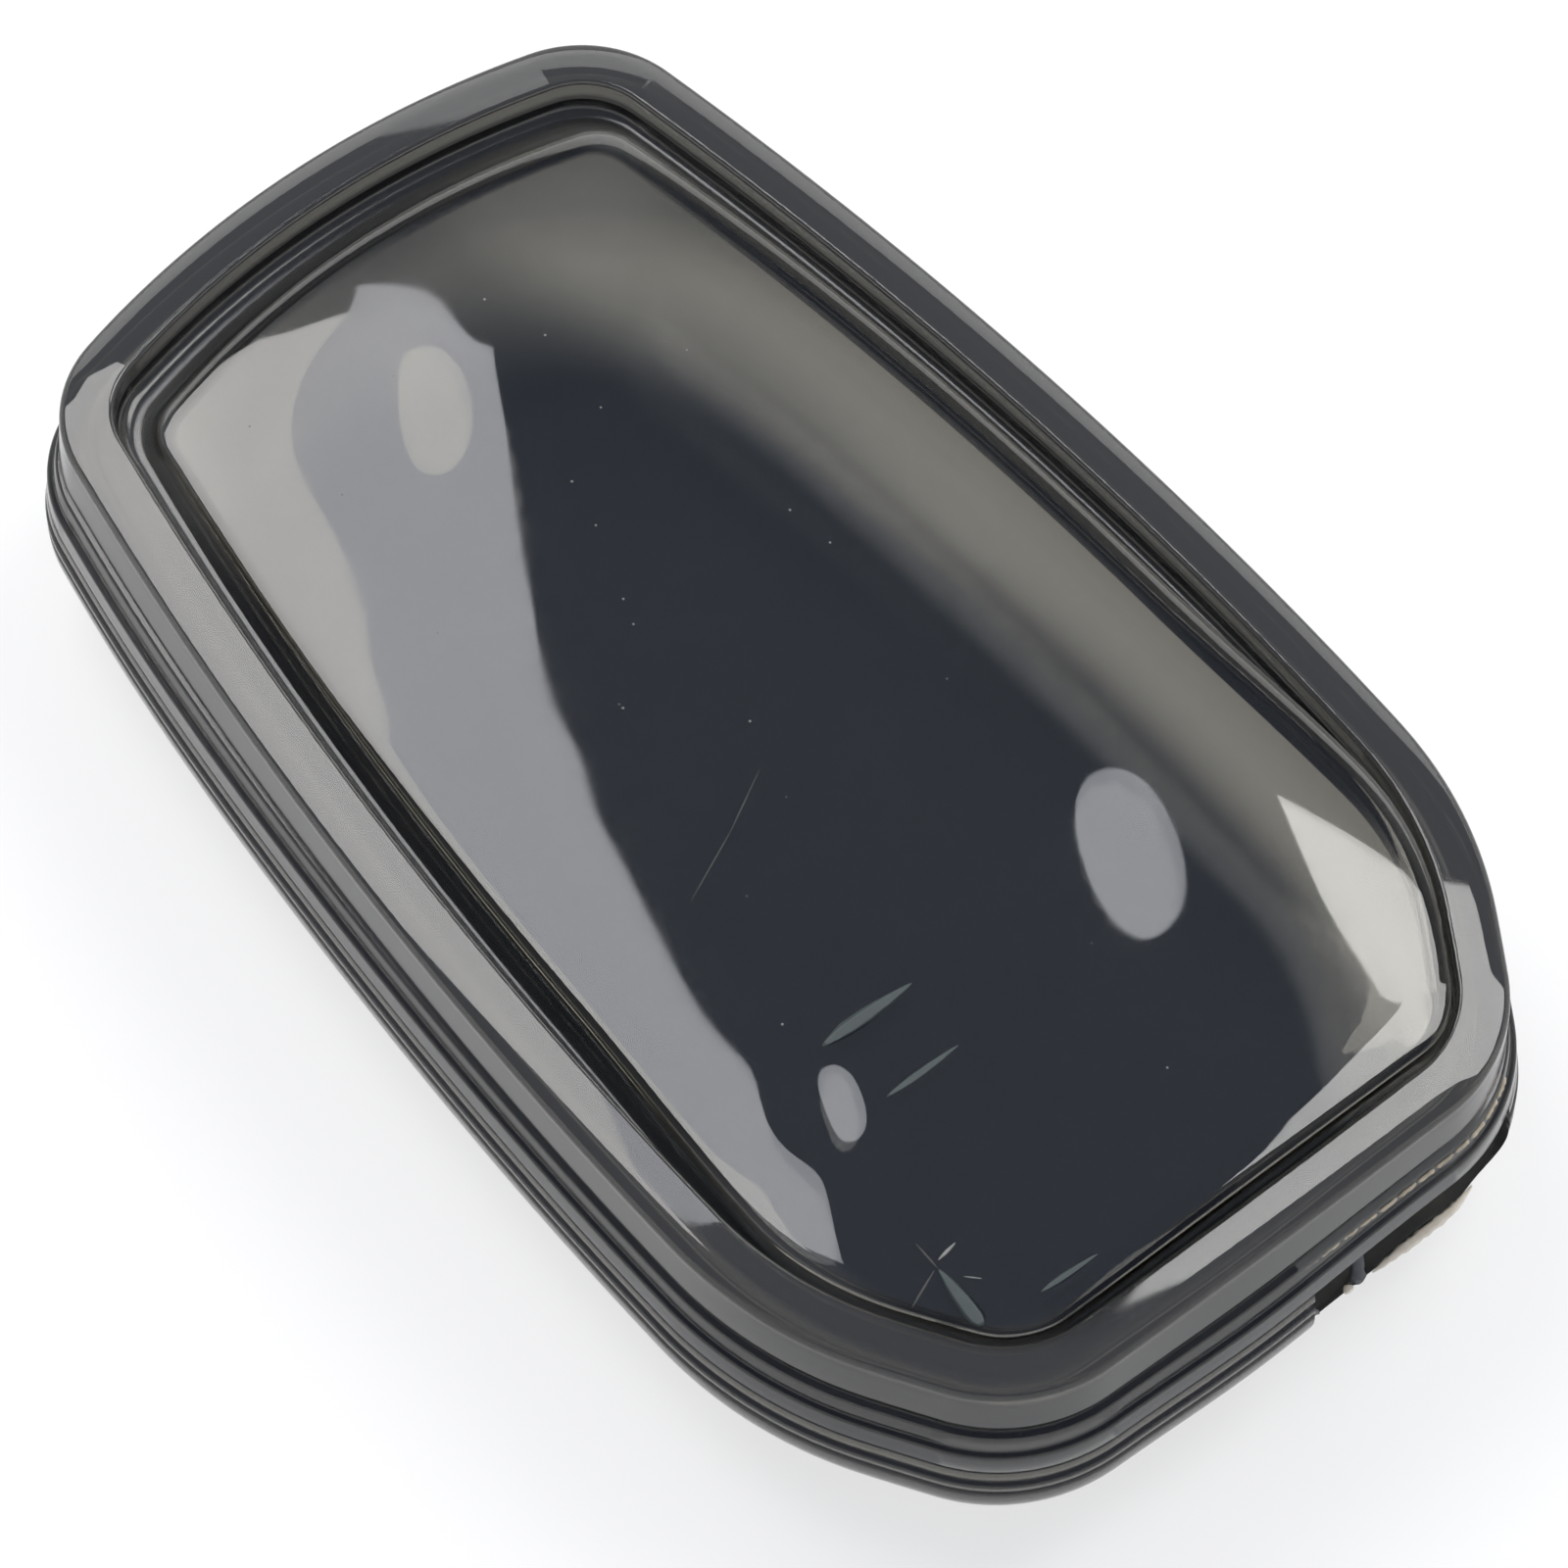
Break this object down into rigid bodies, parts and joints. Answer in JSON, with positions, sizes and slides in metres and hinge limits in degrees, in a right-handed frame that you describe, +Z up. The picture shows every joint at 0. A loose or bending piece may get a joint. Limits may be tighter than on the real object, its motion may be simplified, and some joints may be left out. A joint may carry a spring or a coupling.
{
  "type": "key fob cover",
  "caption": "Snap-together translucent soft plastic cover for a smart key, with a raised rim, ribbed sides, a back that curves under and a ring slot.",
  "frame": {"origin": "on the table under the middle of the cover, at the bottom face", "axes": "+Y towards the wide end, -Y towards the end with the ring slot, +Z up out of the shown face"},
  "size_m": [0.048, 0.08, 0.0167],
  "materials": {
    "smoke_front": "glossy, translucent smoke black",
    "smoke_back": "glossy, translucent smoke black"
  },
  "bodies": {
    "back": {"back_shell": "smoke_back"},
    "front": {"front_shell": "smoke_front"}
  },
  "joints": [
    {"name": "front_lift", "type": "slide", "parent": "back", "child": "front", "axis": [0, 0, 1], "range_m": [0, 0.025]}
  ]
}
